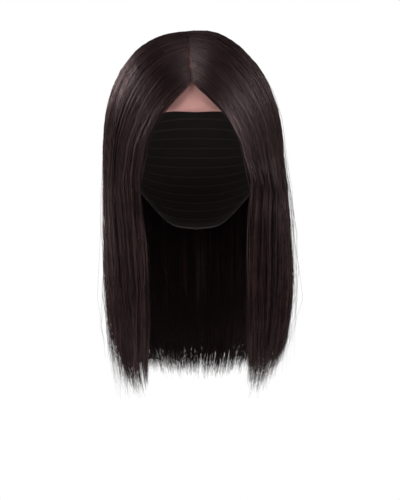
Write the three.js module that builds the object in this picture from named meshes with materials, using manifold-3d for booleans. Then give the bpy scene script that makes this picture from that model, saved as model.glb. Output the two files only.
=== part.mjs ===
// A straight bob wig with a centre parting, in millimetres, +Z up and the face towards -Y.
// The origin is the crown of the head, on the inside of the cap. Left is -X and right is +X.
// A sheer lace front and a stretch cap fit the head. The hair is one curtain on each side of the
// parting, which hangs in front of the shoulders, and one behind, which hangs down the back.
import * as THREE from "three";
import { mergeVertices } from "three/addons/utils/BufferGeometryUtils.js";
import Module from "manifold-3d";

const wasm = await Module();
wasm.setup();

// The head that the cap fits, measured from the middle of its widest level
const headHalfWidth = 76;
const headFront = 94;
const headBack = 102;
const crownHeight = 110;
const headRoundness = 2.2;

// The cap and its lace front
const capWall = 1.5;
const laceWall = 1.0;
const napeDrop = 78;
const laceDepth = 15;
const seamGap = 0.4;

// How far the hair stands out from the head at the widest level, and over the crown
const hairOverCrown = 9;
const hairOverForehead = 7;
const hairOverOcciput = 16;
const hairOverLeftTemple = 15;
const hairOverRightTemple = 10;
const leftRoundness = 2.4;
const rightRoundness = 2.0;

// The hanging hair, below the widest level
const hangLength = 242;
const hangThickness = 11;
const tipThickness = 3;
const tipLength = 30;
const edgeThickness = 3;

// The parting: its run from the hairline to the crown, in degrees either side of upright
const hairlineTilt = 54;
const crownTilt = -10;
const partingGap = 2.4;
const partingFrontOffset = -4;
const partingCrownOffset = -10;
const whorlRadius = 5;

// Clearances and facets
const lockGap = 1.0;
const seatClearance = 0.5;
const sideLocks = 8;
const backLocks = 15;
const columnsPerLock = 3;
const domeRows = 7;
const hangRows = 8;
const shellColumns = 44;
const shellRows = 10;

// How full the hair is, as shares of its thickness: at its roots along the lace hairline and at the
// crown, and how deep the furrows between its locks are there and at the hem
const hairlineCover = 0.35;
const crownCover = 0.8;
const crownRelief = 0.1;
const hemRelief = 0.34;

// Where the hair changes along its way down, from 0 at the roots over 1 at the widest level to 2 at the
// hem: full by coverEnd, furrowed between furrowStart and furrowEnd, thin-edged between edgeStart and
// edgeEnd. edgeShare is the share of a curtain's width that its thin edge takes.
const coverEnd = 0.4;
const furrowStart = 0.3;
const furrowEnd = 1.6;
const edgeStart = 0.4;
const edgeEnd = 1.2;
const edgeShare = 0.12;

// How unevenly locks part and end, as shares of a lock's width and of tipLength, each with the step in
// radians that makes its rhythm
const lockUnevenness = 0.2;
const lockRhythm = 2.4;
const tipUnevenness = 0.35;
const tipRhythm = 3.1;

// The share of the way out from the middle of the head over which its two sides become unlike
const sideBlend = 0.5;

const { degToRad, lerp, smoothstep } = THREE.MathUtils;
const facetSag = headBack * (1 - Math.cos(Math.PI / shellColumns));
const hairSeat = Math.max(capWall, laceWall) + seatClearance + 2 * facetSag;

// The hanging hair's outline from the front. drop is a share of hangLength, and widths and face edges
// are shares of the half-width at that side's temple.
const frontTable = [
  { drop: 0.0, leftWidth: 1.0, leftFace: 0.56, rightWidth: 1.0, rightFace: 0.53 },
  { drop: 0.165, leftWidth: 1.01, leftFace: 0.64, rightWidth: 1.05, rightFace: 0.65 },
  { drop: 0.33, leftWidth: 1.01, leftFace: 0.57, rightWidth: 1.09, rightFace: 0.6 },
  { drop: 0.5, leftWidth: 1.0, leftFace: 0.53, rightWidth: 1.115, rightFace: 0.6 },
  { drop: 0.66, leftWidth: 0.975, leftFace: 0.525, rightWidth: 1.11, rightFace: 0.615 },
  { drop: 0.785, leftWidth: 0.92, leftFace: 0.535, rightWidth: 1.08, rightFace: 0.62 },
  { drop: 0.89, leftWidth: 0.85, leftFace: 0.55, rightWidth: 1.01, rightFace: 0.63 },
  { drop: 1.0, leftWidth: 0.76, leftFace: 0.57, rightWidth: 0.84, rightFace: 0.64 },
];

// Its outline from above. front and back are shares of the depths at the widest level. In degrees from
// the front, a side curtain ends at sideEnd and the back one starts at backStart.
const levelTable = [
  { drop: 0.0, front: 1.0, back: 1.0, sideEnd: 105, backStart: 105 },
  { drop: 0.165, front: 1.0, back: 0.98, sideEnd: 105, backStart: 105 },
  { drop: 0.33, front: 0.98, back: 0.94, sideEnd: 103, backStart: 106 },
  { drop: 0.5, front: 0.97, back: 0.9, sideEnd: 98, backStart: 108 },
  { drop: 0.66, front: 0.96, back: 0.88, sideEnd: 91, backStart: 111 },
  { drop: 0.785, front: 0.96, back: 0.87, sideEnd: 85, backStart: 114 },
  { drop: 0.89, front: 0.96, back: 0.87, sideEnd: 80, backStart: 117 },
  { drop: 1.0, front: 0.96, back: 0.87, sideEnd: 76, backStart: 119 },
];

// Where each curtain is cut. across runs over the curtain, and length is a share of hangLength.
const leftHem = [
  { across: 0.0, length: 0.95 },
  { across: 0.3, length: 1.0 },
  { across: 0.65, length: 0.98 },
  { across: 1.0, length: 0.91 },
];
const rightHem = [
  { across: 0.0, length: 0.94 },
  { across: 0.2, length: 1.0 },
  { across: 0.55, length: 0.95 },
  { across: 1.0, length: 0.86 },
];
const backHem = [
  { across: 0.0, length: 0.9 },
  { across: 0.3, length: 0.95 },
  { across: 0.7, length: 0.95 },
  { across: 1.0, length: 0.88 },
];

// The tip of a lock. share runs over the tip, gather is how far its sides have come to its middle, and
// thickness is a share of hangThickness.
const tipRows = [
  { share: 0.55, gather: 0.4, thickness: 0.7 },
  { share: 1.0, gather: 0.9, thickness: tipThickness / hangThickness },
];

// The lower edge of the cap. angle is from the front, and rise is a share of crownHeight above the
// widest level, or of napeDrop below it where it is negative.
const capEdge = [
  { angle: 0, rise: 0.285 },
  { angle: 30, rise: 0.26 },
  { angle: 55, rise: 0.05 },
  { angle: 78, rise: -0.3 },
  { angle: 100, rise: -0.14 },
  { angle: 125, rise: -0.45 },
  { angle: 155, rise: -0.92 },
  { angle: 180, rise: -1.0 },
];

// The head below its widest level, as shares of napeDrop and of the head's own sizes
const neckTable = [
  { drop: 0.0, width: 1.0, back: 1.0 },
  { drop: 0.35, width: 0.97, back: 0.97 },
  { drop: 0.7, width: 0.88, back: 0.83 },
  { drop: 1.0, width: 0.8, back: 0.68 },
];

// A closed mesh that is laid face by face, all one way round.
class ClosedMesh {
  points = [];
  faces = [];

  addVertex(point) {
    return this.points.push(point) - 1;
  }

  addTriangle(a, b, c) {
    this.faces.push([a, b, c]);
  }

  addQuad(a, b, c, d) {
    this.faces.push([a, b, c], [a, c, d]);
  }

  volume() {
    const corner = (i) => this.points[i].clone();
    return this.faces.reduce((sum, [a, b, c]) => sum + corner(a).dot(corner(b).cross(corner(c))) / 6, 0);
  }

  // Its geometry, with the faces turned to point outwards.
  geometry() {
    const isInsideOut = this.volume() < 0;
    const faces = isInsideOut ? this.faces.map((face) => face.toReversed()) : this.faces;
    const geometry = new THREE.BufferGeometry().setFromPoints(this.points);
    geometry.setIndex(faces.flat());
    return geometry;
  }
}

// A table's columns as smooth curves over its first column.
function curves(table) {
  const names = Object.keys(table[0]);
  const positions = table.map((row) => row[names[0]]);
  const samples = table.flatMap((row) => names.map((name) => row[name]));
  const curve = new THREE.CubicInterpolant(positions, samples, names.length);
  return (at) => {
    const values = curve.evaluate(at);
    return Object.fromEntries(names.map((name, i) => [name, values[i]]));
  };
}

const frontAt = curves(frontTable);
const levelAt = curves(levelTable);
const neckAt = curves(neckTable);
const capEdgeAt = curves(capEdge);
const leftHemAt = curves(leftHem);
const rightHemAt = curves(rightHem);
const backHemAt = curves(backHem);

// A point where a direction meets a rounded form of the given half sizes about the head's middle.
function onRound(direction, size, roundness) {
  const reach = ["x", "y", "z"].reduce((sum, axis) => sum + Math.abs(direction[axis]) ** roundness, 0);
  const scaled = direction.clone().multiplyScalar(reach ** (-1 / roundness));
  return new THREE.Vector3(
    scaled.x * size.side,
    scaled.y * (scaled.y < 0 ? size.front : size.back),
    scaled.z * size.height - crownHeight,
  );
}

// The way from one direction to another over the head, as on a globe.
function alongGreatCircle(from, to, share) {
  const angle = from.angleTo(to);
  return from
    .clone()
    .multiplyScalar(Math.sin((1 - share) * angle))
    .addScaledVector(to, Math.sin(share * angle))
    .normalize();
}

// A level direction, at an angle from the front, to the left for side -1 and to the right for side 1.
function levelDirection(side, angle) {
  return new THREE.Vector3(side * Math.sin(angle), -Math.cos(angle), 0);
}

// The head with an even layer over it, in a direction, sunk below the widest level by drop.
function onHead(direction, layer, drop = 0) {
  const neck = neckAt(drop / napeDrop);
  const size = {
    side: headHalfWidth * neck.width + layer,
    front: headFront * neck.width + layer,
    back: headBack * neck.back + layer,
    height: crownHeight + layer,
  };
  const point = onRound(direction, size, headRoundness);
  point.z -= drop;
  return point;
}

// The hair's outer form at the widest level and above it. The two sides differ in width and in
// roundness, and meet over the middle of the head.
function hairForm(side, acrossHead) {
  const sideRoundness = side < 0 ? leftRoundness : rightRoundness;
  return {
    side: templeHalf(side),
    front: headFront + hairOverForehead,
    back: headBack + hairOverOcciput,
    height: crownHeight + hairOverCrown,
    roundness: lerp(headRoundness, sideRoundness, smoothstep(Math.abs(acrossHead), 0, sideBlend)),
  };
}

function templeHalf(side) {
  return headHalfWidth + (side < 0 ? hairOverLeftTemple : hairOverRightTemple);
}

// The angle at which the rounded level outline of a half-width is so far from the middle.
function angleAt(distance, halfWidth, roundness) {
  const across = distance / halfWidth;
  const along = (1 - across ** roundness) ** (1 / roundness);
  return Math.atan2(across, along);
}

// A curtain's parts differ only in these: which side it is on, the direction of its roots, the angles
// that its hanging part spans at a drop, and its hem.
function sideCurtain(side, hemAt) {
  const isLeft = side < 0;
  return {
    locks: sideLocks,
    sideOf: () => side,
    rootDirection: (across) => {
      const tilt = degToRad(lerp(hairlineTilt, crownTilt, across));
      const offset = lerp(partingFrontOffset, partingCrownOffset, across) + (side * partingGap) / 2;
      return new THREE.Vector3(offset / headHalfWidth, -Math.sin(tilt), Math.cos(tilt)).normalize();
    },
    angle: (across, drop) => {
      const row = frontAt(drop);
      const half = templeHalf(side);
      const face = half * (isLeft ? row.leftFace : row.rightFace);
      const width = half * (isLeft ? row.leftWidth : row.rightWidth);
      const roundness = isLeft ? leftRoundness : rightRoundness;
      return side * lerp(angleAt(face, width, roundness), degToRad(levelAt(drop).sideEnd), across);
    },
    hem: (across) => hemAt(across).length,
    rootCover: (across) => lerp(hairlineCover, crownCover, across),
  };
}

// The back curtain runs from the left ear round the back to the right one.
function backCurtain() {
  const turnGap = lockGap / (headHalfWidth + hairOverLeftTemple);
  const fanDirection = new THREE.Vector3(
    partingCrownOffset / headHalfWidth,
    -Math.sin(degToRad(crownTilt)) + lockGap / crownHeight,
    Math.cos(degToRad(crownTilt)),
  ).normalize();
  const angle = (across, drop) => {
    const start = degToRad(levelAt(drop).backStart) + turnGap;
    return lerp(start, 2 * Math.PI - start, across);
  };
  return {
    locks: backLocks,
    sideOf: (across) => (across < 0.5 ? -1 : 1),
    rootDirection: (across) => {
      const to = levelDirection(-1, angle(across, 0));
      return alongGreatCircle(fanDirection, to, whorlRadius / crownHeight / fanDirection.angleTo(to));
    },
    angle: (across, drop) => -angle(across, drop),
    hem: (across) => backHemAt(across).length,
    rootCover: () => crownCover,
  };
}

// A point of a curtain. across runs from its first edge to its last, down from 0 at the roots over 1 at
// the widest level to 2 at the cut ends, and depth from 0 on the inside to 1 on the outside.
function curtainPoint(curtain, across, down, depth) {
  const onDome = Math.min(down, 1);
  const fall = Math.max(down - 1, 0) * curtain.hem(across);
  const angle = curtain.angle(across, fall);
  const ringDirection = new THREE.Vector3(Math.sin(angle), -Math.cos(angle), 0);
  const direction = alongGreatCircle(curtain.rootDirection(across), ringDirection, onDome);
  const side = curtain.sideOf(across);
  const form = hairForm(side, direction.x);
  const level = levelAt(fall);
  const size = {
    side: form.side * (side < 0 ? frontAt(fall).leftWidth : frontAt(fall).rightWidth),
    front: form.front * level.front,
    back: form.back * level.back,
    height: form.height,
  };
  const hungSize = {
    side: size.side - hangThickness,
    front: size.front - hangThickness,
    back: size.back - hangThickness,
    height: form.height,
  };
  const outer = onRound(direction, size, form.roundness);
  const hung = onRound(direction, hungSize, form.roundness);
  const inner = onHead(direction, hairSeat).lerp(hung, smoothstep(fall * hangLength, 0, napeDrop));
  const cover = lerp(curtain.rootCover(across), 1, smoothstep(onDome, 0, coverEnd));
  const point = inner.lerp(outer, depth * cover);
  point.z -= fall * hangLength;
  return point;
}

// The places across a curtain where its locks part, unevenly, as hair does.
function lockEdges(locks) {
  return Array.from({ length: locks + 1 }, (_, i) => {
    const inside = i > 0 && i < locks;
    return (i + (inside ? lockUnevenness * Math.sin(lockRhythm * i) : 0)) / locks;
  });
}

// How far the outside of the hair lies out, lower between locks than along their middles.
function outerDepth(withinLock, down) {
  const relief = lerp(crownRelief, hemRelief, smoothstep(down, furrowStart, furrowEnd));
  return 1 - relief * (1 - Math.sin(Math.PI * withinLock));
}

// The share of its thickness that a curtain keeps near its two side edges.
function edgeKeep(across, down) {
  const nearest = Math.min(across, 1 - across);
  const thinEdge = lerp(1, edgeThickness / hangThickness, smoothstep(down, edgeStart, edgeEnd));
  return lerp(thinEdge, 1, smoothstep(nearest, 0, edgeShare));
}

// A curtain's columns, a few to each lock, with the place of each within its lock.
function curtainColumns(locks) {
  const edges = lockEdges(locks);
  const columns = [];
  for (let lock = 0; lock < locks; lock++) {
    for (let i = 0; i < columnsPerLock; i++) {
      const within = i / columnsPerLock;
      columns.push({ within, across: lerp(edges[lock], edges[lock + 1], within) });
    }
  }
  columns.push({ within: 1, across: 1 });
  return columns;
}

// A curtain of hair as one closed solid: an outside ridged by its locks, a smooth inside, and locks
// that part near the hem and end in points.
function hairSolid(curtain) {
  const mesh = new ClosedMesh();
  const addPair = (across, within, down, thickness) => {
    const keep = edgeKeep(across, down) * thickness;
    const outside = outerDepth(within, down);
    const middle = outside / 2;
    return {
      outer: mesh.addVertex(curtainPoint(curtain, across, down, lerp(middle, outside, keep))),
      inner: mesh.addVertex(curtainPoint(curtain, across, down, lerp(middle, 0, keep))),
    };
  };
  const joinRows = (upper, lower) => {
    for (let c = 0; c + 1 < upper.length; c++) {
      mesh.addQuad(upper[c].outer, upper[c + 1].outer, lower[c + 1].outer, lower[c].outer);
      mesh.addQuad(upper[c + 1].inner, upper[c].inner, lower[c].inner, lower[c + 1].inner);
    }
    const end = upper.length - 1;
    mesh.addQuad(upper[0].inner, upper[0].outer, lower[0].outer, lower[0].inner);
    mesh.addQuad(upper[end].outer, upper[end].inner, lower[end].inner, lower[end].outer);
  };
  const closeTop = (row) => {
    for (let c = 0; c + 1 < row.length; c++)
      mesh.addQuad(row[c].inner, row[c + 1].inner, row[c + 1].outer, row[c].outer);
  };
  const closeTip = (row) => {
    for (let c = 0; c + 1 < row.length; c++)
      mesh.addQuad(row[c].outer, row[c + 1].outer, row[c + 1].inner, row[c].inner);
  };

  const tipStart = 2 - tipLength / hangLength;
  const downs = [
    ...Array.from({ length: domeRows }, (_, i) => i / domeRows),
    ...Array.from({ length: hangRows + 1 }, (_, i) => lerp(1, tipStart, i / hangRows)),
  ];
  const columns = curtainColumns(curtain.locks);
  const rows = downs.map((down) => columns.map(({ across, within }) => addPair(across, within, down, 1)));
  closeTop(rows[0]);
  rows.slice(1).forEach((row, i) => joinRows(rows[i], row));

  for (let lock = 0; lock < curtain.locks; lock++) {
    const first = lock * columnsPerLock;
    const own = columns.slice(first, first + columnsPerLock + 1);
    const middle = (own[0].across + own.at(-1).across) / 2;
    const shorter = (tipUnevenness * tipLength * (1 + Math.sin(tipRhythm * lock))) / 2 / hangLength;
    let upper = rows.at(-1).slice(first, first + columnsPerLock + 1);
    for (const { share, gather, thickness } of tipRows) {
      const down = lerp(tipStart, 2 - shorter, share);
      const lower = own.map(({ across }, i) =>
        addPair(lerp(across, middle, gather), i / columnsPerLock, down, thickness),
      );
      joinRows(upper, lower);
      upper = lower;
    }
    closeTip(upper);
  }
  return mesh.geometry();
}

// A shell over the head, from the crown down to the cap's edge, with a wall outside the head's form.
function headShell(wall) {
  const mesh = new ClosedMesh();
  const up = new THREE.Vector3(0, 0, 1);
  const shellPoint = (turn, share, layer) => {
    const angle = turn * 2 * Math.PI;
    const fromFront = THREE.MathUtils.radToDeg(Math.min(angle, 2 * Math.PI - angle));
    const rise = capEdgeAt(fromFront).rise;
    const level = levelDirection(1, angle);
    const domeAngle = Math.acos(Math.max(rise, 0));
    const domeRun = domeAngle * crownHeight;
    const dropRun = Math.max(-rise, 0) * napeDrop;
    const run = share * (domeRun + dropRun);
    if (run <= domeRun)
      return onHead(alongGreatCircle(up, level, run / crownHeight / (Math.PI / 2)), layer);
    return onHead(level, layer, run - domeRun);
  };
  const turns = Array.from({ length: shellColumns }, (_, i) => i / shellColumns);
  const ring = (share, layer) => turns.map((turn) => mesh.addVertex(shellPoint(turn, share, layer)));
  const shares = Array.from({ length: shellRows }, (_, i) => (i + 1) / shellRows);
  const outer = shares.map((share) => ring(share, wall));
  const inner = shares.map((share) => ring(share, 0));
  const outerCrown = mesh.addVertex(onHead(up, wall));
  const innerCrown = mesh.addVertex(onHead(up, 0));
  const last = shellRows - 1;
  for (let i = 0; i < shellColumns; i++) {
    const next = (i + 1) % shellColumns;
    mesh.addTriangle(outerCrown, outer[0][i], outer[0][next]);
    mesh.addTriangle(innerCrown, inner[0][next], inner[0][i]);
    for (let r = 0; r < last; r++) {
      mesh.addQuad(outer[r][i], outer[r + 1][i], outer[r + 1][next], outer[r][next]);
      mesh.addQuad(inner[r][next], inner[r + 1][next], inner[r + 1][i], inner[r][i]);
    }
    mesh.addQuad(outer[last][i], inner[last][i], inner[last][next], outer[last][next]);
  }
  return mesh.geometry();
}

function toSolid(geometry) {
  const bare = geometry.clone();
  bare.deleteAttribute("normal");
  bare.deleteAttribute("uv");
  const merged = mergeVertices(bare);
  return new wasm.Manifold(
    new wasm.Mesh({
      numProp: 3,
      vertProperties: merged.getAttribute("position").array,
      triVerts: new Uint32Array(merged.index.array),
    }),
  );
}

function toGeometry(solid) {
  const mesh = solid.getMesh();
  const geometry = new THREE.BufferGeometry();
  geometry.setAttribute("position", new THREE.BufferAttribute(mesh.vertProperties, 3));
  geometry.setIndex(new THREE.BufferAttribute(mesh.triVerts, 1));
  return geometry;
}

// A block larger than the head, on the front or back side of the lace seam.
function seamBlock(direction) {
  const reach = 2 * (headFront + headBack + napeDrop + crownHeight);
  const block = new THREE.BoxGeometry(reach, reach, reach);
  block.translate(0, laceDepth + direction * (reach + seamGap) / 2, 0);
  return toSolid(block);
}

function laceFront() {
  return toGeometry(toSolid(headShell(laceWall)).intersect(seamBlock(-1)));
}

function stretchCap() {
  return toGeometry(toSolid(headShell(capWall)).intersect(seamBlock(1)));
}

const laceTint = new THREE.MeshStandardMaterial({ color: 0xb98a80, roughness: 0.8, metalness: 0 });
const capNet = new THREE.MeshStandardMaterial({ color: 0x1e1715, roughness: 0.85, metalness: 0 });
const hair = new THREE.MeshStandardMaterial({ color: 0x2b2123, roughness: 0.4, metalness: 0 });

function piece(name, geometry, material) {
  geometry.computeVertexNormals();
  const mesh = new THREE.Mesh(geometry, material);
  mesh.name = name;
  return mesh;
}

const wig = new THREE.Group();
wig.name = "bob_wig";
wig.add(
  piece("lace_front", laceFront(), laceTint),
  piece("stretch_cap", stretchCap(), capNet),
  piece("left_hair", hairSolid(sideCurtain(-1, leftHemAt)), hair),
  piece("right_hair", hairSolid(sideCurtain(1, rightHemAt)), hair),
  piece("back_hair", hairSolid(backCurtain()), hair),
);

export default wig;
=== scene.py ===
"""A straight dark bob wig with a centre parting, worn as on a head.

Three curtains of hair hang from a sheer lace front and a stretch cap. Each curtain is a smooth dark mass
under thousands of loose strands, which follow one flow from the parting over the head and down to the hem.
"""

import math

import bmesh
import bpy
import numpy as np
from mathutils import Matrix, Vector


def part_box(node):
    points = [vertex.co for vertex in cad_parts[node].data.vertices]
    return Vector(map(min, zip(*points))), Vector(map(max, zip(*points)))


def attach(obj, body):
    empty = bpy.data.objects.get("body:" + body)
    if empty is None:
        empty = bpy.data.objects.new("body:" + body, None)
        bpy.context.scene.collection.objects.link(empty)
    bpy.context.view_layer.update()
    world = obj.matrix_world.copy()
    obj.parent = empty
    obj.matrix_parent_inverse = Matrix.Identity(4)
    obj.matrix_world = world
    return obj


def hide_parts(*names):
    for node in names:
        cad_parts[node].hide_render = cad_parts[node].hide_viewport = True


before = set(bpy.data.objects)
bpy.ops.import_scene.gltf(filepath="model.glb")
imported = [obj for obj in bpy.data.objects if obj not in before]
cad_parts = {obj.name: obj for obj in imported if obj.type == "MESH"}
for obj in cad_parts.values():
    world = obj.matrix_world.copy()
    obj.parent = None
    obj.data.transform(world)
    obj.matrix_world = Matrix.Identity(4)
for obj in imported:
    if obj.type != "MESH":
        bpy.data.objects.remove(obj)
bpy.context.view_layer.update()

bl_info = {
    "name": "Bob Wig",
    "version": (1, 0, 0),
    "blender": (4, 5, 0),
    "location": "3D View > Sidebar > Bob Wig",
    "description": "Dresses a straight bob wig with strands of hair, a lace front and a stretch cap",
    "category": "Object",
}

LEFT, RIGHT, BACK = -1, 1, 0
MM = 0.001
LACE_WALL = 1.0

# The hanging hair's outline from the front. drop is a share of the hanging length, and widths and face
# edges are shares of the half-width at that side's temple.
FRONT_ROWS = {
    "drop": (0.0, 0.165, 0.33, 0.5, 0.66, 0.785, 0.89, 1.0),
    "left_width": (1.0, 0.99, 0.985, 0.98, 0.95, 0.885, 0.8, 0.72),
    "left_face": (0.56, 0.64, 0.57, 0.53, 0.525, 0.535, 0.55, 0.57),
    "right_width": (1.0, 1.05, 1.09, 1.115, 1.11, 1.08, 1.01, 0.84),
    "right_face": (0.53, 0.65, 0.6, 0.6, 0.615, 0.62, 0.63, 0.64),
}

# Its outline from above. front and back are shares of the depths at the widest level. In degrees from the
# front, a side curtain ends at side_end and the back one starts at back_start.
LEVEL_ROWS = {
    "drop": (0.0, 0.165, 0.33, 0.5, 0.66, 0.785, 0.89, 1.0),
    "front": (1.0, 1.0, 0.98, 0.97, 0.96, 0.96, 0.96, 0.96),
    "back": (1.0, 0.98, 0.94, 0.9, 0.88, 0.87, 0.87, 0.87),
    "side_end": (105, 105, 103, 98, 91, 85, 80, 76),
    "back_start": (105, 105, 106, 108, 111, 114, 117, 119),
}

# Where each curtain is cut. across runs over the curtain, and length is a share of the hanging length.
HEM_ROWS = {
    LEFT: {"across": (0.0, 0.3, 0.65, 1.0), "length": (0.95, 1.0, 0.98, 0.91)},
    RIGHT: {"across": (0.0, 0.2, 0.55, 1.0), "length": (0.94, 1.0, 0.95, 0.86)},
    BACK: {"across": (0.0, 0.3, 0.7, 1.0), "length": (0.9, 0.95, 0.95, 0.88)},
}

# The cap's lower edge. angle is from the front, and rise is a share of the crown's height above the widest
# level, or of the drop to the nape below it where it is negative.
CAP_EDGE_ROWS = {
    "angle": (0, 30, 55, 78, 100, 125, 155, 180),
    "rise": (0.285, 0.26, 0.05, -0.3, -0.14, -0.45, -0.92, -1.0),
}

# The head below its widest level, as shares of the drop to the nape and of the head's own sizes.
NECK_ROWS = {
    "drop": (0.0, 0.35, 0.7, 1.0),
    "width": (1.0, 0.97, 0.88, 0.8),
    "back": (1.0, 0.97, 0.83, 0.68),
}

# Layers of strands. low and high are depths in the curtain, and the guides stand from start to end across
# it. hem is a factor on the hem scatter, roots the share of its length by which a strand may start late,
# uneven how far guides differ in length, drift how far they sway in mm, spread how wide a guide's strands
# lie, as a share of the way to the next guide, and inset how far across a guide moves on its way down.
LAYERS = {
    "name": ("outer", "inner", "back_outer", "back_inner", "edge", "loose", "face", "crown"),
    "guides": (48, 22, 76, 76, 12, 10, 4, 7),
    "low": (0.72, 0.05, 0.72, 0.05, 0.1, 0.85, 0.9, 0.8),
    "high": (1.0, 0.3, 1.0, 0.35, 0.9, 1.05, 1.05, 1.1),
    "start": (0.012, 0.012, 0.012, 0.012, -0.02, 0.3, 0.0, 0.55),
    "end": (0.988, 0.988, 0.988, 0.988, 0.07, 0.95, 0.16, 1.0),
    "hem": (2.0, 2.0, 0.7, 0.7, 2.0, 1.0, 1.0, 1.0),
    "roots": (0.004, 0.3, 0.2, 0.3, 0.14, 0.004, 0.3, 0.02),
    "uneven": (0.02, 0.02, 0.02, 0.02, 0.02, 0.03, 0.02, 0.02),
    "drift": (1.4, 1.4, 1.0, 1.0, 3.0, 4.0, 2.0, 1.4),
    "spread": (1.8, 1.8, 2.4, 2.4, 1.8, 1.8, 1.8, 2.4),
    "inset": (0.0, 0.0, 0.0, 0.0, 0.05, 0.0, 0.0, 0.0),
}

# The full curtains of strands. per_guide is how many strands grow round each guide.
CURTAINS = {
    "name": ("left_strands", "right_strands", "back_outer_strands", "back_inner_strands"),
    "side": (LEFT, RIGHT, BACK, BACK),
    "layers": (("outer", "inner"), ("outer", "inner"), ("back_outer",), ("back_inner",)),
    "per_guide": (30, 30, 29, 29),
    "seed": (11, 23, 37, 41),
    "Tip Gather": (0.6, 0.6, 0.25, 0.25),
}

# The finer hair on each side. closing and narrowing are those of its flow, width, strays and wander factors
# on those of the other hair, and pairs hold the left side's value and the right side's.
FINE_HAIR = {
    "name": ("hairline", "loose_wide", "loose_near", "face_strands", "crown_strands"),
    "layers": (("edge",), ("loose",), ("loose",), ("face",), ("crown",)),
    "per_guide": (44, 6, 18, 9, 22),
    "seeds": ((51, 67), (73, 89), (74, 90), (75, 91), (76, 92)),
    "closing": (0.2, -4.0, -4.0, -4.0, -20.0),
    "narrowing": (1.0, 0.3, 0.65, 0.65, 1.0),
    "width": (0.7, 0.7, 0.7, 0.7, 1.0),
    "strays": (3.0, 3.0, 3.0, 3.0, 1.0),
    "paleness": ((0.45, 0.2), (0.35, 0.35), (0.35, 0.35), (0.35, 0.35), (0.0, 0.0)),
    "wander": (1.0, 1.0, 1.7, 1.0, 1.0),
}

# The dark form under each curtain, with the place down the hair where it ends and its width in metres.
MASSES = {
    "name": ("left_mass", "right_mass", "back_mass"),
    "node": ("left_hair", "right_hair", "back_hair"),
    "side": (LEFT, RIGHT, BACK),
    "columns": (76, 76, 130),
    "end": (1.82, 1.82, 1.88),
    "width": (0.13, 0.13, 0.29),
}

# Places down a guide, from 0 at the roots over 1 at the widest level to 2 at the cut ends.
GUIDE_PLACES = (
    0, 0.03, 0.08, 0.15, 0.23, 0.32, 0.41, 0.51, 0.61, 0.71, 0.81, 0.91, 1.02, 1.16, 1.34, 1.56, 1.78, 2)

# The lights: where each stands and its width and height, in metres, and its power in watts.
LIGHTS = {
    "name": ("Front", "Left", "Right", "Behind"),
    "place": ((-0.2, -1.9, 0.9), (-1.85, -0.32, 0.75), (1.85, -0.36, 0.78), (0.0, 2.0, 0.7)),
    "size": ((1.0, 0.8), (1.2, 0.8), (1.2, 0.8), (1.2, 0.8)),
    "power": (1.6, 96.0, 70.0, 7.0),
    "colour": ((1.0, 1.0, 1.0), (1.0, 1.0, 1.0), (1.0, 1.0, 1.0), (1.0, 0.93, 0.9)),
}


def table_rows(table):
    """A table's rows, each with its values by column."""
    return [dict(zip(table, values)) for values in zip(*table.values())]


def length(name, millimetres, description):
    return bpy.props.FloatProperty(
        name=name, description=description, default=millimetres * MM, unit="LENGTH")


def number(name, default, description, subtype="NONE"):
    return bpy.props.FloatProperty(name=name, description=description, default=default, subtype=subtype)


def tone(name, default, description):
    return bpy.props.FloatVectorProperty(
        name=name, description=description, default=default, subtype="COLOR")


class WigShape(bpy.types.PropertyGroup):
    """The sizes of the head that the wig fits and of the hair over it."""

    head_half_width: length(
        "Head half width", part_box("lace_front")[1].x / MM - LACE_WALL,
        "Half the head's width at its widest level")
    head_front: length("Head front", 94, "From the head's middle to the forehead")
    head_back: length("Head back", 102, "From the head's middle to its back")
    crown_height: length("Crown height", 110, "From the widest level up to the crown")
    nape_drop: length("Nape drop", 78, "From the widest level down to the nape edge of the cap")
    head_roundness: number("Head roundness", 2.2, "How square the head's form is, with 2 for an ellipsoid")
    lace_wall: length("Lace thickness", LACE_WALL, "Thickness of the lace front")
    cap_wall: length("Cap thickness", 1.5, "Thickness of the stretch cap")
    seam: length("Lace seam", 15, "Where the lace front meets the stretch cap, behind the crown")
    seam_gap: length("Seam gap", 0.2, "From the seam to the cut edge on either side of it")
    hair_seat: length("Hair seat", 2.3, "Height of the inside of the hair over the head")
    over_crown: length("Hair over crown", 9, "Height of the hair over the crown")
    over_forehead: length("Hair over forehead", 7, "Depth of the hair over the forehead")
    over_occiput: length("Hair over back", 16, "Depth of the hair over the back of the head")
    over_left: length("Hair over left temple", 15, "Depth of the hair over the left temple")
    over_right: length("Hair over right temple", 10, "Depth of the hair over the right temple")
    left_roundness: number("Left roundness", 2.32, "How square the hair's form is on the left")
    right_roundness: number("Right roundness", 2.0, "How square the hair's form is on the right")
    hang_length: length("Hanging length", 242, "Length of the hair below the widest level")
    hang_thickness: length("Hanging thickness", 11, "Thickness of a hanging curtain")
    edge_thickness: length("Edge thickness", 3, "Thickness of a curtain at its side edges")
    hairline_tilt: number(
        "Hairline tilt", math.radians(54), "Where the parting starts, forward of upright", "ANGLE")
    crown_tilt: number("Crown tilt", math.radians(-10), "Where the parting ends, forward of upright", "ANGLE")
    parting_gap: length("Parting width", 0.4, "Width of bare lace along the parting")
    parting_front: length("Parting front offset", -4, "How far right of the middle the parting starts")
    parting_crown: length("Parting crown offset", -10, "How far right of the middle the parting ends")
    hairline_bow: length("Hairline bow", 5, "How far the hair beside the face bows in over the lace")
    whorl_radius: length("Whorl radius", 3, "Radius of the ring from which the back hair fans out")
    side_locks: number("Side locks", 15, "How many locks a side curtain is furrowed into")
    back_locks: number("Back locks", 30, "How many locks the back curtain is furrowed into")


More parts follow.
